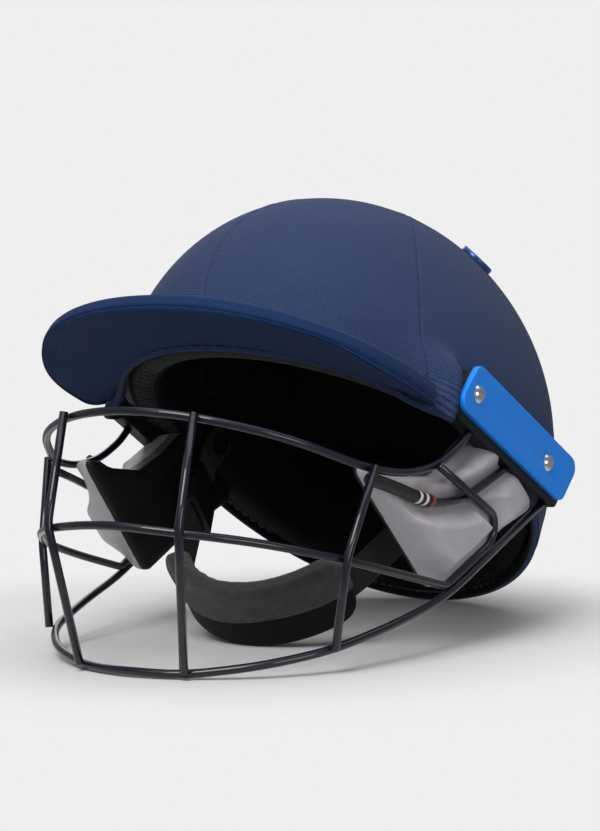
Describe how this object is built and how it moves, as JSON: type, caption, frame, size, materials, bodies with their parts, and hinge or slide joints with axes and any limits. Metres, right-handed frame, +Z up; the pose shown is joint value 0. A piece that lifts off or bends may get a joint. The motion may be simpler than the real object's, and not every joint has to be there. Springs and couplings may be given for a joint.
{
  "type": "cricket helmet",
  "caption": "Cricket helmet with a cloth-covered shell, padded peak, welded wire grille, side plates, cheek pads and a chin strap with a cup and side-release buckle.",
  "frame": {"origin": "bottom centre of the helmet's bounding box, on the table it lies on", "axes": "+Z up, -Y towards the front of the peak, +X towards the wearer's left; tipped back on its nape and the grille's foot"},
  "size_m": [0.2332, 0.3476, 0.228],
  "materials": {
    "cloth": "fine navy twill, stretched and glued",
    "board": "stiff moulded board, hidden by the cloth",
    "shell": "moulded, as pressed",
    "mesh": "open knitted mesh over foam",
    "foam": "smooth closed-cell foam",
    "padding": "brushed knit over foam",
    "silver": "silver-grey knit over foam",
    "moulding": "satin bright blue moulding",
    "bracket": "fine moulded grain",
    "bars": "glossy powder coat",
    "sleeve": "striped soft sleeve",
    "screws": "bright plated",
    "rivets": "blackened cap",
    "webbing": "ribbed woven tape",
    "cup": "brushed fleece over foam",
    "cup_base": "smooth moulded",
    "buckle": "fine moulded grain"
  },
  "bodies": {
    "root": {"peak_board": "board", "cover": "cloth", "shell": "shell", "peak_cover": "cloth", "headband": "mesh", "liner": "foam", "crown_pad": "padding", "brow_pad": "padding", "nape_pad": "padding", "side_pad_left": "padding", "side_pad_right": "padding", "eyelet_left": "moulding", "eyelet_right": "moulding", "side_plate_left": "moulding", "side_plate_right": "moulding", "plate_screws_left": "screws", "plate_screws_right": "screws", "screw_nuts_left": "screws", "screw_nuts_right": "screws", "strap_rivet_left": "rivets", "strap_rivet_right": "rivets", "top_bar": "bars", "middle_bar": "bars", "bottom_bar": "bars", "inner_uprights": "bars", "outer_uprights": "bars", "side_bar_left": "bars", "side_bar_right": "bars", "bracket_left": "bracket", "bracket_right": "bracket", "bar_sleeve": "sleeve", "cheek_pad_left": "silver", "cheek_pad_right": "silver", "cheek_lining_left": "padding", "cheek_lining_right": "padding"},
    "chin_strap": {"chin_webbing": "webbing", "anchor_webbing": "webbing", "chin_cup_base": "cup_base", "chin_cup": "cup", "buckle_socket": "buckle", "buckle_plug": "buckle"},
    "prong_front": {"buckle_prong_front": "buckle"},
    "prong_rear": {"buckle_prong_rear": "buckle"}
  },
  "joints": [
    {"name": "strap_swing", "type": "hinge", "parent": "root", "child": "chin_strap", "pos_m": [0, 0.04134, 0.09528], "axis": [1, 0, 0], "range_deg": [-35, 70]},
    {"name": "prong_front_press", "type": "hinge", "parent": "chin_strap", "child": "prong_front", "pos_m": [-0.06931, -0.00335, 0.0729], "axis": [-0.9302, -0.2942, -0.2196], "range_deg": [0, 17], "stiffness_Nm_per_rad": 0.06},
    {"name": "prong_rear_press", "type": "hinge", "parent": "chin_strap", "child": "prong_rear", "pos_m": [-0.06931, 0.00717, 0.0588], "axis": [0.9302, 0.2942, 0.2196], "range_deg": [0, 17], "stiffness_Nm_per_rad": 0.06}
  ]
}
